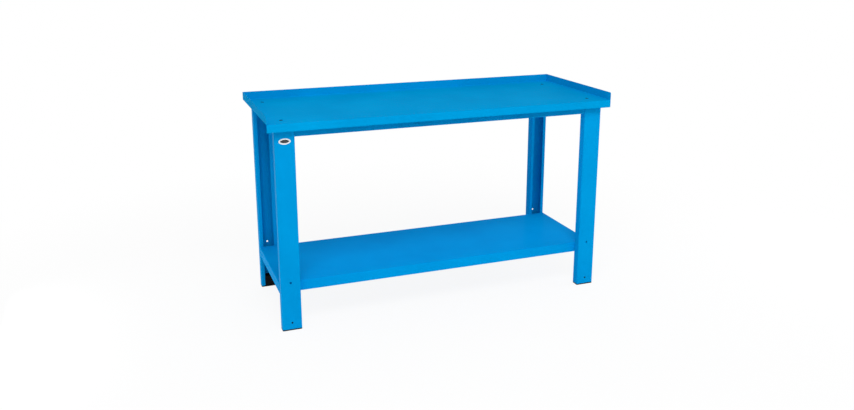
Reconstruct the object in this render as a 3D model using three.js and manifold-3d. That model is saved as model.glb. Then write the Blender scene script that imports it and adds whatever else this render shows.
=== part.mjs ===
// Assembly table in folded sheet steel: a rimmed top, four lipped channel legs and a lower shelf.
// Millimetres, +Z up, +X to the right and +Y to the rear; the floor is Z = 0.
import * as THREE from 'three';
import { mergeVertices } from 'three/addons/utils/BufferGeometryUtils.js';
import Module from 'manifold-3d';

const wasm = await Module();
wasm.setup();

// Table top
const topLength = 1500;
const topDepth = 580;
const surfaceHeight = 860;
const topThickness = 2;
const rimHeight = 34;
const rimCornerRadius = 6;
const frontLipHeight = 32;
const frontLipReturn = 14;

// Legs
const legWidth = 80;
const legDepth = 38;
const legLip = 16;
const legThickness = 2;
const legFromEnd = 30;
const legFromFront = 26;
const legFromRear = 28;
const webHoleRadius = 4.2;
const webHoleHeight = 205;

// Feet
const footBase = 5;
const footPlugHeight = 45;
const footWall = 3;
const footPegHeight = 32;

// Long rails and end rails under the top
const railHeight = 56;
const railDepth = 30;
const railThickness = 2;
const railSetback = 2;
const railBoltSpacing = 26;
const endRailWidth = 74;
const endRailHeight = 28;

// Lower shelf
const shelfHeight = 194;
const shelfFlange = 42;
const shelfThickness = 1.5;

// Hat-section stiffeners
const hatHeight = 26;
const hatWidth = 44;
const hatBrim = 18;
const hatThickness = 1.5;
const topHatSpacing = 190;

// Screw dishes pressed in the top and in the end rails
const dishRadius = 13;
const dishFloorRadius = 8;
const dishDepth = 3.3;
const dishFromRailEnd = 18;

// Fasteners
const topScrewHeadRadius = 6.8;
const topScrewHeadHeight = 2.4;
const topScrewSocket = 2.3;
const boltRadius = 3;
const boltHeadWidth = 10;
const boltHeadHeight = 4;
const nutHeight = 5;
const boltEnd = 2;

// Bends and clearances
const bendRadius = 2;
const bendSteps = 4;
const roundSteps = 24;
const dishSteps = 12;
const hexSides = 6;
const fit = 0.3;
const overrun = 10;
const mergeTolerance = 1e-4;

// Places that several pieces share
const cutterLength = 2 * overrun;
const topUnderside = surfaceHeight - topThickness - fit;
const legX = topLength / 2 - legFromEnd - legWidth / 2;
const frontLegY = -topDepth / 2 + legFromFront;
const rearLegY = topDepth / 2 - legFromRear;
const frontLipPlaneY = frontLegY + legDepth;
const rearLipPlaneY = rearLegY - legDepth;
const bayDepth = rearLipPlaneY - frontLipPlaneY - 2 * fit;
const bayY = (frontLipPlaneY + rearLipPlaneY) / 2;
const legLength = topUnderside - footBase;
const railLength = 2 * legX - legWidth - 2 * fit;
const railBoltY = legDepth / 2;
const lipScrewX = legWidth / 2 - (legLip + legThickness) / 2;
const lipScrewHeight = shelfHeight - shelfFlange / 2;
const dishY = bayDepth / 2 - dishFromRailEnd;
const topHatLength = 2 * legX - endRailWidth - 2 * fit;
const shelfLength = 2 * legX + legWidth;
const shelfHatLength = shelfLength - 2 * (shelfThickness + bendRadius + hatBrim);

// Surfaces
const blueTop = { color: 0x0094d2, roughness: 0.36, metalness: 0.0 };
const blueFrame = { color: 0x009bdc, roughness: 0.38, metalness: 0.0 };
const blueShelf = { color: 0x008bd0, roughness: 0.34, metalness: 0.0 };
const blackPlastic = { color: 0x141617, roughness: 0.6, metalness: 0.0 };
const zincSteel = { color: 0x9aa0a5, roughness: 0.35, metalness: 1.0 };
const darkSteel = { color: 0x2a2d30, roughness: 0.42, metalness: 0.9 };

// Solids from geometries and back
function solidOf(geometry) {
  const bare = geometry.clone();
  bare.deleteAttribute('normal');
  bare.deleteAttribute('uv');
  const merged = mergeVertices(bare, mergeTolerance);
  const mesh = new wasm.Mesh({
    numProp: 3,
    vertProperties: new Float32Array(merged.attributes.position.array),
    triVerts: new Uint32Array(merged.index.array),
  });
  return new wasm.Manifold(mesh);
}

function geometryOf(solid) {
  const mesh = solid.getMesh();
  const geometry = new THREE.BufferGeometry();
  geometry.setAttribute('position', new THREE.BufferAttribute(new Float32Array(mesh.vertProperties), 3));
  geometry.setIndex(new THREE.BufferAttribute(new Uint32Array(mesh.triVerts), 1));
  geometry.computeVertexNormals();
  return geometry;
}

function cutAll(body, cutters) {
  return cutters.reduce((rest, cutter) => rest.subtract(solidOf(cutter)), body);
}

function joinAll(body, additions) {
  return additions.reduce((whole, addition) => whole.add(solidOf(addition)), body);
}

// Bars, plates and rods, each centred on its own middle
function bar(outline, length, hollow) {
  const shape = new THREE.Shape(outline);
  if (hollow) {
    shape.holes.push(new THREE.Path(hollow));
  }
  const geometry = new THREE.ExtrudeGeometry(shape, { depth: length, bevelEnabled: false });
  return geometry.translate(0, 0, -length / 2);
}

function alongX(geometry) {
  const turn = new THREE.Matrix4();
  turn.makeBasis(new THREE.Vector3(0, 1, 0), new THREE.Vector3(0, 0, 1), new THREE.Vector3(1, 0, 0));
  return geometry.applyMatrix4(turn);
}

function alongY(geometry) {
  return geometry.rotateX(Math.PI / 2);
}

function rod(radius, length, axis, steps = roundSteps) {
  const geometry = new THREE.CylinderGeometry(radius, radius, length, steps);
  if (axis === 'x') {
    return geometry.rotateZ(Math.PI / 2);
  }
  return axis === 'z' ? geometry.rotateX(Math.PI / 2) : geometry;
}

function arcPoints(x, y, radius, from, to) {
  const points = [];
  for (let step = 0; step <= bendSteps; step += 1) {
    const angle = from + ((to - from) * step) / bendSteps;
    points.push(new THREE.Vector2(x + radius * Math.cos(angle), y + radius * Math.sin(angle)));
  }
  return points;
}

function roundedRectangle(width, depth, radius) {
  const x = width / 2 - radius;
  const y = depth / 2 - radius;
  const quarter = Math.PI / 2;
  return [
    ...arcPoints(x, -y, radius, -quarter, 0),
    ...arcPoints(x, y, radius, 0, quarter),
    ...arcPoints(-x, y, radius, quarter, 2 * quarter),
    ...arcPoints(-x, -y, radius, 2 * quarter, 3 * quarter),
  ];
}

// Outline of a folded strip: a middle line with rounded corners and half the wall on each side
function foldedOutline(corners, thickness) {
  const middleRadius = bendRadius + thickness / 2;
  const points = corners.map(([x, y]) => new THREE.Vector2(x, y));
  const along = points.slice(1).map((point, i) => point.clone().sub(points[i]).normalize());
  const normals = along.map((way) => new THREE.Vector2(-way.y, way.x));
  const stations = [[points[0], normals[0]]];
  for (let i = 1; i < points.length - 1; i += 1) {
    stations.push(...bendStations(points[i], along[i - 1], along[i], normals[i - 1], middleRadius));
  }
  stations.push([points.at(-1), normals.at(-1)]);
  const side = (half) => stations.map(([point, normal]) => point.clone().addScaledVector(normal, half));
  return [...side(thickness / 2), ...side(-thickness / 2).reverse()];
}

function bendStations(corner, wayIn, wayOut, normal, radius) {
  const turn = Math.atan2(wayIn.cross(wayOut), wayIn.dot(wayOut));
  const hand = Math.sign(turn);
  const reach = radius * Math.tan(Math.abs(turn) / 2);
  const centre = corner.clone().addScaledVector(wayIn, -reach).addScaledVector(normal, hand * radius);
  const stations = [];
  for (let step = 0; step <= bendSteps; step += 1) {
    const tilted = normal.clone().rotateAround(new THREE.Vector2(), (turn * step) / bendSteps);
    stations.push([centre.clone().addScaledVector(tilted, -hand * radius), tilted]);
  }
  return stations;
}

// Outline of a pan seen from one end: walls rise on the sides that are not open
function panOutline(half, floor, rise, radius, frontCorner) {
  const quarter = Math.PI / 2;
  const rear = arcPoints(half - radius, floor + radius, radius, -quarter, 0);
  const rearTop = new THREE.Vector2(half, rise);
  if (frontCorner === undefined) {
    const left = arcPoints(-half + radius, floor + radius, radius, 2 * quarter, 3 * quarter);
    return [...rear, rearTop, new THREE.Vector2(-half, rise), ...left];
  }
  const front = arcPoints(-half + frontCorner, rise - frontCorner, frontCorner, quarter, 2 * quarter);
  return [...rear, rearTop, ...front, new THREE.Vector2(-half, floor)];
}

function openPanOutline(front, rear, floor, rise, radius) {
  const quarter = Math.PI / 2;
  return [
    ...arcPoints(rear - radius, floor + radius, radius, -quarter, 0),
    new THREE.Vector2(rear, rise),
    new THREE.Vector2(front, rise),
    new THREE.Vector2(front, floor),
  ];
}

function crossOf(outlineYZ, lengthX, outlineXZ, lengthY) {
  const lengthways = solidOf(alongX(bar(outlineYZ, lengthX)));
  const depthways = solidOf(alongY(bar(outlineXZ, lengthY)));
  return lengthways.intersect(depthways);
}

// Table top: surface at local Z = 0, rims up at the rear and both ends, lip down at the front
function topTray() {
  const outer = bendRadius + topThickness;
  const halfDepth = topDepth / 2;
  const halfLength = topLength / 2;
  const pan = crossOf(
    panOutline(halfDepth, -topThickness, rimHeight, outer, rimCornerRadius),
    topLength,
    panOutline(halfLength, -topThickness, rimHeight, outer),
    topDepth,
  );
  const hollow = crossOf(
    openPanOutline(-halfDepth - overrun, halfDepth - topThickness, 0, rimHeight + overrun, bendRadius),
    topLength,
    panOutline(halfLength - topThickness, 0, rimHeight + overrun, bendRadius),
    topDepth + 2 * overrun,
  );
  return pan.subtract(hollow);
}

function frontFold() {
  const outer = bendRadius + topThickness;
  const middle = topThickness / 2;
  const frontY = -topDepth / 2;
  const lip = foldedOutline([
    [frontY + 2 * outer, -middle],
    [frontY + middle, -middle],
    [frontY + middle, -frontLipHeight + middle],
    [frontY + frontLipReturn, -frontLipHeight + middle],
  ], topThickness);
  return alongX(bar(lip, topLength));
}

function foldRelief() {
  const outer = bendRadius + topThickness;
  const frontY = -topDepth / 2;
  const quarter = Math.PI / 2;
  const outline = [
    ...arcPoints(frontY + outer, -outer, outer, quarter, 2 * quarter),
    new THREE.Vector2(frontY - overrun, -outer),
    new THREE.Vector2(frontY - overrun, overrun),
    new THREE.Vector2(frontY + outer, overrun),
  ];
  return alongX(bar(outline, topLength - 2 * outer));
}

// Dish below a face; it runs on past the face by the rise, so no skin is left there
function dish(surface, rise) {
  const profile = [
    new THREE.Vector2(0, surface - dishDepth),
    new THREE.Vector2(dishFloorRadius, surface - dishDepth),
    new THREE.Vector2(dishRadius, surface),
    new THREE.Vector2(dishRadius, surface + rise),
    new THREE.Vector2(0, surface + rise),
  ];
  return new THREE.LatheGeometry(profile, dishSteps).rotateX(Math.PI / 2);
}

function dishPlaces(x, y) {
  return [[-x, -y], [x, -y], [-x, y], [x, y]];
}

function pressDishes(sheet, places, surface, thickness) {
  const bumps = places.map(([x, y]) => dish(surface - thickness, thickness / 2).translate(x, y, 0));
  const hollows = places.map(([x, y]) => dish(surface, overrun).translate(x, y, 0));
  const holes = places.map(([x, y]) => {
    const hole = rod(boltRadius + fit, cutterLength, 'z', dishSteps);
    return hole.translate(x, y, surface - dishDepth);
  });
  return cutAll(joinAll(sheet, bumps), [...hollows, ...holes]);
}

function tableTop() {
  const folded = cutAll(topTray(), [foldRelief()]).add(solidOf(frontFold()));
  const places = dishPlaces(legX, dishY).map(([x, y]) => [x, y + bayY]);
  return pressDishes(folded, places, 0, topThickness);
}

// Leg: web face at local Y = 0, lips at Y = legDepth; inner is the side that carries the rail
function legOutline() {
  const side = legWidth / 2 - legThickness / 2;
  const face = legThickness / 2;
  const back = legDepth - legThickness / 2;
  const lipEnd = legWidth / 2 - legLip;
  return foldedOutline(
    [[-lipEnd, back], [-side, back], [-side, face], [side, face], [side, back], [lipEnd, back]],
    legThickness,
  );
}

function leg(inner) {
  const blank = solidOf(bar(legOutline(), legLength).translate(0, 0, legLength / 2));
  const webHoles = [footPegHeight, webHoleHeight].map((height) => {
    return rod(webHoleRadius, cutterLength, 'y').translate(0, 0, height - footBase);
  });
  const lipHoles = [-lipScrewX, lipScrewX].map((x) => {
    return rod(boltRadius + fit, cutterLength, 'y').translate(x, legDepth, lipScrewHeight - footBase);
  });
  const railHoles = railBoltHeights().map((height) => {
    const hole = rod(boltRadius + fit, cutterLength, 'x');
    return hole.translate((inner * legWidth) / 2, railBoltY, height - footBase);
  });
  return cutAll(blank, [...webHoles, ...lipHoles, ...railHoles]);
}

function railBoltHeights() {
  const middle = topUnderside - railHeight / 2;
  return [middle - railBoltSpacing / 2, middle + railBoltSpacing / 2];
}

// Foot: a base under the leg, a hollow plug inside it and a peg in the lower web hole
function foot() {
  const plugWidth = legWidth - 2 * (legThickness + fit);
  const plugDepth = legDepth - 2 * (legThickness + fit);
  const middle = legDepth / 2;
  const base = bar(roundedRectangle(legWidth, legDepth, bendRadius + legThickness), footBase);
  const plug = bar(roundedRectangle(plugWidth, plugDepth, bendRadius), footPlugHeight);
  const peg = rod(webHoleRadius - fit, legThickness + footWall, 'y');
  const body = joinAll(solidOf(base.translate(0, middle, footBase / 2)), [
    plug.translate(0, middle, footBase + footPlugHeight / 2),
    peg.translate(0, (legThickness + footWall) / 2 + fit, footPegHeight),
  ]);
  return cutAll(body, footPockets(plugWidth, plugDepth));
}

function footPockets(plugWidth, plugDepth) {
  const width = (plugWidth - 3 * footWall) / 2;
  const depth = plugDepth - 2 * footWall;
  const shift = (width + footWall) / 2;
  return [-shift, shift].map((x) => {
    const pocket = bar(roundedRectangle(width, depth, bendRadius), footPlugHeight);
    return pocket.translate(x, legDepth / 2, footBase + footPlugHeight / 2 + footWall);
  });
}

// Long rail: a channel with its web at local Y = 0 and an end tab against each leg
function longRail() {
  const face = railThickness / 2;
  const channel = foldedOutline([
    [railDepth, face],
    [face, face],
    [face, railHeight - face],
    [railDepth, railHeight - face],
  ], railThickness);
  const tabs = [-1, 1].map((side) => railTab(side, face));
  const body = joinAll(solidOf(alongX(bar(channel, railLength))), tabs);
  return cutAll(body, railHoles());
}

function railTab(side, face) {
  const depth = railDepth - bendRadius - face;
  const tab = new THREE.BoxGeometry(railThickness, depth, railHeight - 2 * face);
  const x = (side * (railLength - railThickness)) / 2;
  return tab.translate(x, face + depth / 2, railHeight / 2);
}

function railHoles() {
  const base = topUnderside - railHeight;
  const holes = [];
  for (const side of [-1, 1]) {
    for (const height of railBoltHeights()) {
      const hole = rod(boltRadius + fit, cutterLength, 'x');
      holes.push(hole.translate((side * railLength) / 2, railBoltY - railSetback, height - base));
    }
  }
  return holes;
}

// End rail: a rectangular tube from the front leg to the rear leg, with its upper wall under the top
function endRail() {
  const wall = 2 * railThickness;
  const outside = roundedRectangle(endRailWidth, endRailHeight, bendRadius + railThickness);
  const inside = roundedRectangle(endRailWidth - wall, endRailHeight - wall, bendRadius);
  const tube = alongY(bar(outside, bayDepth, inside)).translate(0, 0, -endRailHeight / 2);
  return pressDishes(solidOf(tube), [[0, -dishY], [0, dishY]], 0, railThickness);
}

// Hat-section stiffener with its brims at local Z = 0
function hat(length) {
  const half = hatWidth / 2 - hatThickness / 2;
  const brim = -hatThickness / 2;
  const crown = -hatHeight + hatThickness / 2;
  const outline = foldedOutline([
    [-half - hatBrim, brim],
    [-half, brim],
    [-half, crown],
    [half, crown],
    [half, brim],
    [half + hatBrim, brim],
  ], hatThickness);
  return alongX(bar(outline, length));
}

// Lower shelf: surface at local Z = 0 with a flange folded down on every side
function lowerShelf() {
  const outer = bendRadius + shelfThickness;
  const pan = crossOf(
    flip(panOutline(bayDepth / 2, 0, shelfFlange, outer)),
    shelfLength,
    flip(panOutline(shelfLength / 2, 0, shelfFlange, outer)),
    bayDepth,
  );
  const deep = shelfFlange + overrun;
  const hollow = crossOf(
    flip(panOutline(bayDepth / 2 - shelfThickness, shelfThickness, deep, bendRadius)),
    shelfLength,
    flip(panOutline(shelfLength / 2 - shelfThickness, shelfThickness, deep, bendRadius)),
    bayDepth,
  );
  return cutAll(pan.subtract(hollow), shelfHoles());
}

function flip(outline) {
  return outline.map((point) => new THREE.Vector2(point.x, -point.y));
}

function shelfHoles() {
  const holes = [];
  for (const x of [-legX - lipScrewX, -legX + lipScrewX, legX - lipScrewX, legX + lipScrewX]) {
    for (const side of [-1, 1]) {
      const hole = rod(boltRadius + fit, cutterLength, 'y');
      holes.push(hole.translate(x, (side * bayDepth) / 2, -shelfFlange / 2));
    }
  }
  return holes;
}

// Fasteners, each standing on local Z = 0 with its shank upward
function hexagon(width) {
  const radius = width / Math.sqrt(3);
  return arcRing(radius, hexSides);
}

function arcRing(radius, count) {
  return Array.from({ length: count }, (_, i) => {
    const angle = (i * 2 * Math.PI) / count;
    return new THREE.Vector2(radius * Math.cos(angle), radius * Math.sin(angle));
  });
}

function hexBolt(grip) {
  const head = bar(hexagon(boltHeadWidth), boltHeadHeight).translate(0, 0, -boltHeadHeight / 2);
  const shank = rod(boltRadius, grip + boltHeadHeight, 'z').translate(0, 0, (grip - boltHeadHeight) / 2);
  return solidOf(head).add(solidOf(shank));
}

function hexNut(width, height, bore) {
  return bar(hexagon(width), height, arcRing(bore, roundSteps)).translate(0, 0, height / 2);
}

function topScrew() {
  const length = topScrewLength();
  const profile = [
    new THREE.Vector2(0, -length),
    new THREE.Vector2(boltRadius, -length),
    new THREE.Vector2(boltRadius, -topScrewHeadHeight),
    new THREE.Vector2(topScrewHeadRadius, -topScrewHeadHeight),
    new THREE.Vector2(topScrewHeadRadius, 0),
    new THREE.Vector2(0, 0),
  ];
  const body = solidOf(new THREE.LatheGeometry(profile, roundSteps).rotateX(Math.PI / 2));
  const socketDepth = 2 * topScrewHeadHeight;
  return cutAll(body, [bar(arcRing(topScrewSocket, hexSides), socketDepth)]);
}

function topScrewLength() {
  const stack = topThickness + fit + railThickness + fit;
  return topScrewHeadHeight + fit + stack + nutHeight + boltEnd;
}

// Scene
const table = new THREE.Group();

function place(parent, name, geometry, finish, position, turn = [0, 0, 0]) {
  const mesh = new THREE.Mesh(geometry, new THREE.MeshStandardMaterial(finish));
  mesh.name = name;
  mesh.position.set(...position);
  mesh.rotation.set(...turn);
  parent.add(mesh);
}

function addTop() {
  place(table, 'table_top', geometryOf(tableTop()), blueTop, [0, 0, surfaceHeight]);
  for (const [name, side] of [['front', -1], ['rear', 1]]) {
    const y = bayY + (side * topHatSpacing) / 2;
    place(table, `${name}_top_stiffener`, hat(topHatLength), blueFrame, [0, y, topUnderside]);
  }
}

function addCorner(name, x, y, half, inner) {
  const corner = new THREE.Group();
  corner.position.set(x, y, 0);
  corner.rotation.z = half;
  place(corner, `${name}_leg`, geometryOf(leg(inner)), blueFrame, [0, 0, footBase]);
  place(corner, `${name}_foot`, geometryOf(foot()), blackPlastic, [0, 0, 0]);
  addShelfScrews(corner, name, inner);
  table.add(corner);
}

function addShelfScrews(corner, name, inner) {
  const seat = legDepth + fit + shelfThickness + fit;
  const grip = seat - legDepth + legThickness + 2 * boltEnd;
  for (const [label, side] of [['inner', inner], ['outer', -inner]]) {
    const position = [side * lipScrewX, seat, lipScrewHeight];
    const bolt = geometryOf(hexBolt(grip));
    place(corner, `${name}_shelf_screw_${label}`, bolt, zincSteel, position, [Math.PI / 2, 0, 0]);
  }
}

function addLongRail(name, y, half, rightSide) {
  const group = new THREE.Group();
  group.position.set(0, y, topUnderside - railHeight);
  group.rotation.z = half;
  place(group, `${name}_rail`, geometryOf(longRail()), blueFrame, [0, railSetback, 0]);
  for (const [end, side] of [['left', -rightSide], ['right', rightSide]]) {
    addRailBolts(group, `${name}_${end}_rail`, side);
  }
  table.add(group);
}

function addRailBolts(group, name, side) {
  const base = topUnderside - railHeight;
  const seat = railLength / 2 - railThickness - fit;
  const nutSeat = legX - legWidth / 2 + legThickness + fit;
  const grip = nutSeat - seat + nutHeight + boltEnd;
  const turn = [0, (side * Math.PI) / 2, 0];
  for (const [level, height] of railBoltHeights().entries()) {
    const rank = ['lower', 'upper'][level];
    const z = height - base;
    const bolt = geometryOf(hexBolt(grip));
    const nut = hexNut(boltHeadWidth, nutHeight, boltRadius + fit);
    place(group, `${name}_bolt_${rank}`, bolt, zincSteel, [side * seat, railBoltY, z], turn);
    place(group, `${name}_nut_${rank}`, nut, zincSteel, [side * nutSeat, railBoltY, z], turn);
  }
}

function addEndRails() {
  for (const [name, side] of [['left', -1], ['right', 1]]) {
    const x = side * legX;
    place(table, `${name}_end_rail`, geometryOf(endRail()), blueFrame, [x, bayY, topUnderside]);
    for (const [row, way] of [['front', -1], ['rear', 1]]) {
      addTopScrew(`${row}_${name}_top`, x, bayY + way * dishY);
    }
  }
}

function addTopScrew(name, x, y) {
  const headTop = surfaceHeight - dishDepth + fit + topScrewHeadHeight;
  const nutTop = topUnderside - railThickness - dishDepth - fit;
  const nut = hexNut(boltHeadWidth, nutHeight, boltRadius + fit);
  place(table, `${name}_screw`, geometryOf(topScrew()), darkSteel, [x, y, headTop]);
  place(table, `${name}_nut`, nut, zincSteel, [x, y, nutTop - nutHeight]);
}

function addShelf() {
  const hatTop = shelfHeight - shelfThickness - fit;
  place(table, 'lower_shelf', geometryOf(lowerShelf()), blueShelf, [0, bayY, shelfHeight]);
  place(table, 'shelf_stiffener', hat(shelfHatLength), blueFrame, [0, bayY, hatTop]);
}

addTop();
addCorner('front_left', -legX, frontLegY, 0, 1);
addCorner('front_right', legX, frontLegY, 0, -1);
addCorner('rear_left', -legX, rearLegY, Math.PI, -1);
addCorner('rear_right', legX, rearLegY, Math.PI, 1);
addLongRail('front', frontLegY, 0, 1);
addLongRail('rear', rearLegY, Math.PI, -1);
addEndRails();
addShelf();

export default table;
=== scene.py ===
import math

import bmesh
import bpy
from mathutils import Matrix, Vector


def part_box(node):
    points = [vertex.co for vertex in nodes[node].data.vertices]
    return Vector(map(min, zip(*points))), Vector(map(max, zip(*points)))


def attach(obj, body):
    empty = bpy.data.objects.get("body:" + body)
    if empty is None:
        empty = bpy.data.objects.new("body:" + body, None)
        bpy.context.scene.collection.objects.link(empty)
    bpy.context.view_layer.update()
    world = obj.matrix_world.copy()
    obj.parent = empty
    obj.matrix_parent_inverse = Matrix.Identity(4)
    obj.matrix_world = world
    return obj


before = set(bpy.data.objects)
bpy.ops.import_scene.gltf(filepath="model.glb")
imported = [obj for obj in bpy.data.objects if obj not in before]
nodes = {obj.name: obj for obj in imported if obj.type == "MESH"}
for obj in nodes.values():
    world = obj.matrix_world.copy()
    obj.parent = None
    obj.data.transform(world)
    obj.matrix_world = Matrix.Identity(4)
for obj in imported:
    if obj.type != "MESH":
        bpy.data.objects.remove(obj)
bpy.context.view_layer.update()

bpy.ops.object.select_all(action="DESELECT")

# Legs: lipped channels folded from 2 mm sheet steel, with the web outward.
# Each end frame is welded up and powder coated in one blue before assembly.
# The coat is semi-gloss with a very fine orange peel.


def bare_finish(name):
    material = bpy.data.materials.new(name)
    material.use_nodes = True
    tree = material.node_tree
    return material, tree, tree.nodes["Principled BSDF"]


def speckle(tree, scale, detail):
    place = tree.nodes.new("ShaderNodeTexCoord")
    noise = tree.nodes.new("ShaderNodeTexNoise")
    noise.inputs["Scale"].default_value = scale
    noise.inputs["Detail"].default_value = detail
    tree.links.new(place.outputs["Object"], noise.inputs["Vector"])
    return noise.outputs["Fac"]


def tint(tree, shader, pattern, dark, light, start=0.0, end=1.0):
    tone = tree.nodes.new("ShaderNodeValToRGB")
    tone.color_ramp.elements[0].position = start
    tone.color_ramp.elements[0].color = (*dark, 1.0)
    tone.color_ramp.elements[1].position = end
    tone.color_ramp.elements[1].color = (*light, 1.0)
    tree.links.new(pattern, tone.inputs["Fac"])
    tree.links.new(tone.outputs["Color"], shader.inputs["Base Color"])


def relief(tree, shader, pattern, strength):
    bump = tree.nodes.new("ShaderNodeBump")
    bump.inputs["Strength"].default_value = strength
    bump.inputs["Distance"].default_value = 0.0002
    tree.links.new(pattern, bump.inputs["Height"])
    tree.links.new(bump.outputs["Normal"], shader.inputs["Normal"])


# The shine is kept far below that of real powder coat.
# At a flat angle the white room would otherwise veil the blue.
def powder_coat(name, deep, bright, peel, shine):
    material, tree, shader = bare_finish(name)
    shader.inputs["Specular IOR Level"].default_value = shine
    cloud = speckle(tree, scale=5.0, detail=3.0)
    tint(tree, shader, cloud, deep, bright, start=0.3, end=0.7)
    grain = speckle(tree, scale=700.0, detail=2.0)
    relief(tree, shader, grain, peel)
    gloss = tree.nodes.new("ShaderNodeMapRange")
    gloss.inputs["To Min"].default_value = 0.30
    gloss.inputs["To Max"].default_value = 0.42
    tree.links.new(grain, gloss.inputs["Value"])
    tree.links.new(gloss.outputs["Result"], shader.inputs["Roughness"])
    return material


# Facets that meet at about 13 to 31 degrees belong to a bend or a round, and are shaded as one curve.
def soft_bends(middle, spread, seam):
    group = bpy.data.node_groups.new("soft_bends", "GeometryNodeTree")
    group.interface.new_socket("Geometry", in_out="INPUT", socket_type="NodeSocketGeometry")
    group.interface.new_socket("Geometry", in_out="OUTPUT", socket_type="NodeSocketGeometry")
    start = group.nodes.new("NodeGroupInput")
    end = group.nodes.new("NodeGroupOutput")
    weld = group.nodes.new("GeometryNodeMergeByDistance")
    weld.inputs["Distance"].default_value = seam
    angle = group.nodes.new("GeometryNodeInputMeshEdgeAngle")
    gentle = group.nodes.new("FunctionNodeCompare")
    gentle.operation = "EQUAL"
    gentle.inputs["B"].default_value = math.radians(middle)
    gentle.inputs["Epsilon"].default_value = math.radians(spread)
    faces = group.nodes.new("GeometryNodeSetShadeSmooth")
    edges = group.nodes.new("GeometryNodeSetShadeSmooth")
    edges.domain = "EDGE"
    group.links.new(start.outputs[0], weld.inputs["Geometry"])
    group.links.new(weld.outputs["Geometry"], faces.inputs["Geometry"])
    group.links.new(faces.outputs["Geometry"], edges.inputs["Geometry"])
    group.links.new(angle.outputs["Unsigned Angle"], gentle.inputs["A"])
    group.links.new(gentle.outputs["Result"], edges.inputs["Shade Smooth"])
    group.links.new(edges.outputs["Geometry"], end.inputs[0])
    return group


bend_smoothing = soft_bends(middle=22.0, spread=9.0, seam=0.00001)


def finish_node(name, material):
    node = nodes[name]
    node.data.materials.clear()
    node.data.materials.append(material)
    smoothing = node.modifiers.new("soft_bends", "NODES")
    smoothing.node_group = bend_smoothing


frame_blue = powder_coat(
    "frame_blue", deep=(0.0, 0.300, 0.690), bright=(0.0, 0.330, 0.735), peel=0.10, shine=0.004)
corners = ("front_left", "front_right", "rear_left", "rear_right")
for corner in corners:
    finish_node(f"{corner}_leg", frame_blue)

# Feet: black plastic plugs pushed into the open ends of the legs.
# A moulded peg snaps into the lower hole of the web and keeps each one in.
black_plastic, plastic_tree, plastic = bare_finish("black_plastic")
plastic.inputs["Specular IOR Level"].default_value = 0.05
plastic.inputs["Roughness"].default_value = 0.55
mould_grain = speckle(plastic_tree, scale=900.0, detail=2.0)
tint(plastic_tree, plastic, mould_grain, dark=(0.003, 0.003, 0.004), light=(0.009, 0.009, 0.010))
relief(plastic_tree, plastic, mould_grain, strength=0.2)
for corner in corners:
    finish_node(f"{corner}_foot", black_plastic)

# Rails: steel sections under the top, in the same blue coat as the legs.
# The long ones are folded channels bolted to the leg sides.
# The end ones are rectangular tubes welded to the leg lips, and they take the top's screws.
# Painted shade: the rails' blue is set a little deeper than the legs' to stand for the shadow under the
# top's edge.
rail_blue_painted_shade = powder_coat(
    "rail_blue_painted_shade", deep=(0.0, 0.255, 0.610), bright=(0.0, 0.285, 0.660), peel=0.10, shine=0.006)
for rail in ("front_rail", "rear_rail", "left_end_rail", "right_end_rail"):
    finish_node(rail, rail_blue_painted_shade)

# Lower shelf: a sheet steel pan folded down on all four sides, screwed to the leg lips.
# A hat-section stiffener is spot-welded along its underside.
shelf_blue = powder_coat(
    "shelf_blue", deep=(0.0, 0.300, 0.715), bright=(0.0, 0.335, 0.765), peel=0.08, shine=0.0015)
finish_node("lower_shelf", shelf_blue)
finish_node("shelf_stiffener", frame_blue)

# Table top: one folded steel sheet with rims up at the rear and both ends and a lip down in front.
# Two hat-section stiffeners are spot-welded under it, and four screws hold it to the end rails.
top_blue = powder_coat(
    "top_blue", deep=(0.0, 0.305, 0.670), bright=(0.0, 0.340, 0.725), peel=0.12, shine=0.0003)
finish_node("table_top", top_blue)
for row in ("front", "rear"):
    finish_node(f"{row}_top_stiffener", frame_blue)

# Fasteners: zinc-plated hexagon bolts, nuts and shelf screws.
# The four socket screws in the dishes of the top are black oxide.


def plated_steel(name, dark, light, roughness, metallic):
    material, tree, shader = bare_finish(name)
    shader.inputs["Metallic"].default_value = metallic
    shader.inputs["Roughness"].default_value = roughness
    shader.inputs["Specular IOR Level"].default_value = 0.0
    spangle = speckle(tree, scale=420.0, detail=4.0)
    tint(tree, shader, spangle, dark, light, start=0.35, end=0.65)
    return material


zinc = plated_steel(
    "zinc_plate", dark=(0.42, 0.44, 0.46), light=(0.58, 0.60, 0.62), roughness=0.34, metallic=1.0)
black_oxide = plated_steel(
    "black_oxide", dark=(0.006, 0.007, 0.008), light=(0.016, 0.018, 0.020), roughness=0.6, metallic=0.0)
for corner in corners:
    for side in ("inner", "outer"):
        finish_node(f"{corner}_shelf_screw_{side}", zinc)
    for level in ("lower", "upper"):
        finish_node(f"{corner}_rail_bolt_{level}", zinc)
        finish_node(f"{corner}_rail_nut_{level}", zinc)
    finish_node(f"{corner}_top_nut", zinc)
    finish_node(f"{corner}_top_screw", black_oxide)

# Badge: a small enamelled oval plate stuck to the front left leg just under the lip.
# A raised white border surrounds a dark field, which is left plain.
badge_width = 0.047
badge_height = 0.024
badge_thickness = 0.0016
badge_border = 0.0052
badge_recess = 0.0005
badge_rounding = 0.0003
badge_steps = 64
badge_drop = 0.073
rim_height = 0.034
leg_low, leg_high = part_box("front_left_leg")
top_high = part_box("table_top")[1]
badge_x = (leg_low.x + leg_high.x) / 2
badge_y = leg_low.y - badge_thickness / 2
surface_z = top_high.z - rim_height
badge_z = surface_z - badge_drop
bpy.ops.mesh.primitive_cylinder_add(
    vertices=badge_steps, radius=0.5, depth=1.0, rotation=(math.radians(90), 0, 0),
    location=(badge_x, badge_y, badge_z))
badge = bpy.context.object
badge.name = "oval_badge"
badge.scale = (badge_width, badge_height, badge_thickness)
bpy.ops.object.transform_apply(location=True, rotation=True, scale=True)
bpy.ops.object.mode_set(mode="EDIT")
bpy.ops.mesh.select_mode(type="FACE")
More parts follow.
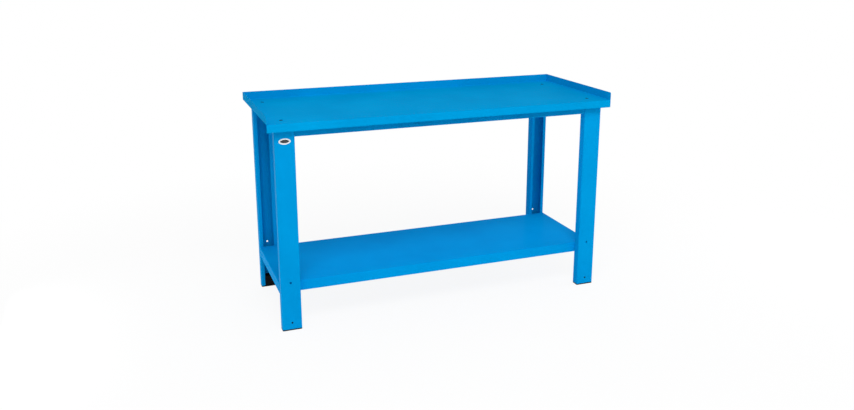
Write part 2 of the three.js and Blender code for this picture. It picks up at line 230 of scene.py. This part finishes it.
bpy.ops.mesh.select_all(action="DESELECT")
shape = bmesh.from_edit_mesh(badge.data)
for face in shape.faces:
    faces_front = face.normal.y < -0.9
    face.select_set(faces_front)
bmesh.update_edit_mesh(badge.data)
bpy.ops.mesh.inset(thickness=badge_border, depth=0.0)
bpy.ops.mesh.extrude_region_move(TRANSFORM_OT_translate={"value": (0, badge_recess, 0)})


def enamel(name, shade, fleck):
    material, tree, shader = bare_finish(name)
    shader.inputs["Roughness"].default_value = 0.25
    tint(tree, shader, speckle(tree, scale=600.0, detail=2.0), shade, fleck)
    return material


badge.data.materials.append(enamel("badge_border_white", (0.80, 0.81, 0.82), (0.88, 0.89, 0.90)))
badge.data.materials.append(enamel("badge_field_dark", (0.010, 0.012, 0.016), (0.018, 0.022, 0.028)))
badge.active_material_index = 1
bpy.ops.object.material_slot_assign()
bpy.ops.object.mode_set(mode="OBJECT")
rounding = badge.modifiers.new("rounding", "BEVEL")
rounding.width = badge_rounding
rounding.segments = 2
rounding.limit_method = "ANGLE"
bpy.ops.object.modifier_apply(modifier="rounding")
bpy.ops.object.shade_smooth_by_angle(angle=math.radians(40))
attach(badge, "root")
bpy.ops.object.select_all(action="DESELECT")

# Studio floor: a plain sweep of white paper.
# Around the feet it takes the table's shadow, and farther out it burns out to white.
paper_size = 400.0
shadow_reach = 1.2
white_reach = 2.6
near_white = 0.90
bpy.ops.mesh.primitive_plane_add(size=paper_size, location=(0, 0, 0))
floor = bpy.context.object
floor.name = "studio_floor"


def seen_directly(tree):
    ray = tree.nodes.new("ShaderNodeLightPath")
    seen = ray.outputs["Is Camera Ray"]
    for kind in ("Is Glossy Ray", "Is Transmission Ray"):
        either = tree.nodes.new("ShaderNodeMath")
        either.operation = "MAXIMUM"
        tree.links.new(seen, either.inputs[0])
        tree.links.new(ray.outputs[kind], either.inputs[1])
        seen = either.outputs[0]
    return seen


floor_white, floor_tree, paper = bare_finish("floor_white")
paper.inputs["Base Color"].default_value = (0.94, 0.94, 0.94, 1.0)
paper.inputs["Roughness"].default_value = 0.9
paper.inputs["Specular IOR Level"].default_value = 0.0
floor_glow = floor_tree.nodes.new("ShaderNodeEmission")
floor_glow.inputs["Strength"].default_value = 1.0
floor_place = floor_tree.nodes.new("ShaderNodeTexCoord")
floor_range = floor_tree.nodes.new("ShaderNodeVectorMath")
floor_range.operation = "LENGTH"
floor_tree.links.new(floor_place.outputs["Object"], floor_range.inputs[0])
floor_fade = floor_tree.nodes.new("ShaderNodeMapRange")
floor_fade.interpolation_type = "SMOOTHSTEP"
floor_fade.inputs["From Min"].default_value = shadow_reach
floor_fade.inputs["From Max"].default_value = white_reach
floor_fade.inputs["To Min"].default_value = near_white
floor_fade.inputs["To Max"].default_value = 1.0
floor_tree.links.new(floor_range.outputs["Value"], floor_fade.inputs["Value"])
floor_share = floor_tree.nodes.new("ShaderNodeMath")
floor_share.operation = "MULTIPLY"
floor_tree.links.new(seen_directly(floor_tree), floor_share.inputs[0])
floor_tree.links.new(floor_fade.outputs["Result"], floor_share.inputs[1])
floor_mix = floor_tree.nodes.new("ShaderNodeMixShader")
floor_tree.links.new(floor_share.outputs[0], floor_mix.inputs[0])
floor_tree.links.new(paper.outputs["BSDF"], floor_mix.inputs[1])
floor_tree.links.new(floor_glow.outputs["Emission"], floor_mix.inputs[2])
floor_out = floor_tree.nodes["Material Output"]
floor_tree.links.new(floor_mix.outputs["Shader"], floor_out.inputs["Surface"])
floor.data.materials.append(floor_white)
bpy.ops.object.select_all(action="DESELECT")

# Studio light: a broad soft key high in front and a white room.
# Four weak fills reach under the top: low in front, at the right, low at the left and behind.
# The one behind is kept out of reflections, where it would leave a pale sheen on the top.


def softbox(name, place, aim, width, height, watts):
    lamp = bpy.data.lights.new(name, "AREA")
    lamp.shape = "RECTANGLE"
    lamp.size = width
    lamp.size_y = height
    lamp.energy = watts
    light = bpy.data.objects.new(name, lamp)
    bpy.context.scene.collection.objects.link(light)
    light.location = place
    way = Vector(aim) - light.location
    light.rotation_euler = way.to_track_quat("-Z", "Y").to_euler()
    return light


softbox("key_light", (-0.95, -2.85, 4.2), aim=(0, 0, 0.5), width=3.0, height=2.0, watts=124.0)
softbox("low_fill", (-0.2, -3.8, 0.6), aim=(0, 0, 0.2), width=2.6, height=1.0, watts=9.0)
softbox("side_fill", (3.0, -0.5, 1.0), aim=(0.4, 0, 0.2), width=1.6, height=1.2, watts=24.0)
softbox("left_fill", (-1.8, 0.0, 0.15), aim=(-0.7, 0, 0.15), width=1.0, height=0.2, watts=3.0)
rear_fill = softbox("rear_fill", (0.8, 3.4, 1.5), aim=(0, 0, 0.4), width=2.6, height=1.4, watts=22.0)
rear_fill.visible_glossy = False

world = bpy.data.worlds.new("studio_room")
bpy.context.scene.world = world
world.use_nodes = True
room = world.node_tree
room_out = room.nodes["World Output"]
room_fill = room.nodes["Background"]
room_fill.inputs["Color"].default_value = (1.0, 1.0, 1.0, 1.0)
room_fill.inputs["Strength"].default_value = 0.42
room_seen = room.nodes.new("ShaderNodeBackground")
room_seen.inputs["Color"].default_value = (1.0, 1.0, 1.0, 1.0)
room_seen.inputs["Strength"].default_value = 1.0
room_mix = room.nodes.new("ShaderNodeMixShader")
room.links.new(seen_directly(room), room_mix.inputs[0])
room.links.new(room_fill.outputs["Background"], room_mix.inputs[1])
room.links.new(room_seen.outputs["Background"], room_mix.inputs[2])
room.links.new(room_mix.outputs["Shader"], room_out.inputs["Surface"])
bpy.context.scene.view_settings.view_transform = "Standard"

# Camera: a moderate wide-angle lens in front of the left end, above the top, turned right and pitched down.
# Its place was fitted to points measured in the photograph.
# The shift stays small, because the other views keep it.
pitch_down = 14.55
turn_right = 20.67
lens = bpy.data.cameras.new("camera")
lens.sensor_width = 36.0
lens.lens = 35.13
lens.shift_y = -0.05
lens.dof.use_dof = False
camera = bpy.data.objects.new("camera", lens)
bpy.context.scene.collection.objects.link(camera)
camera.location = (-1.26676, -3.36452, 1.51136)
camera.rotation_euler = (math.radians(90 - pitch_down), 0.0, math.radians(-turn_right))
bpy.context.scene.camera = camera
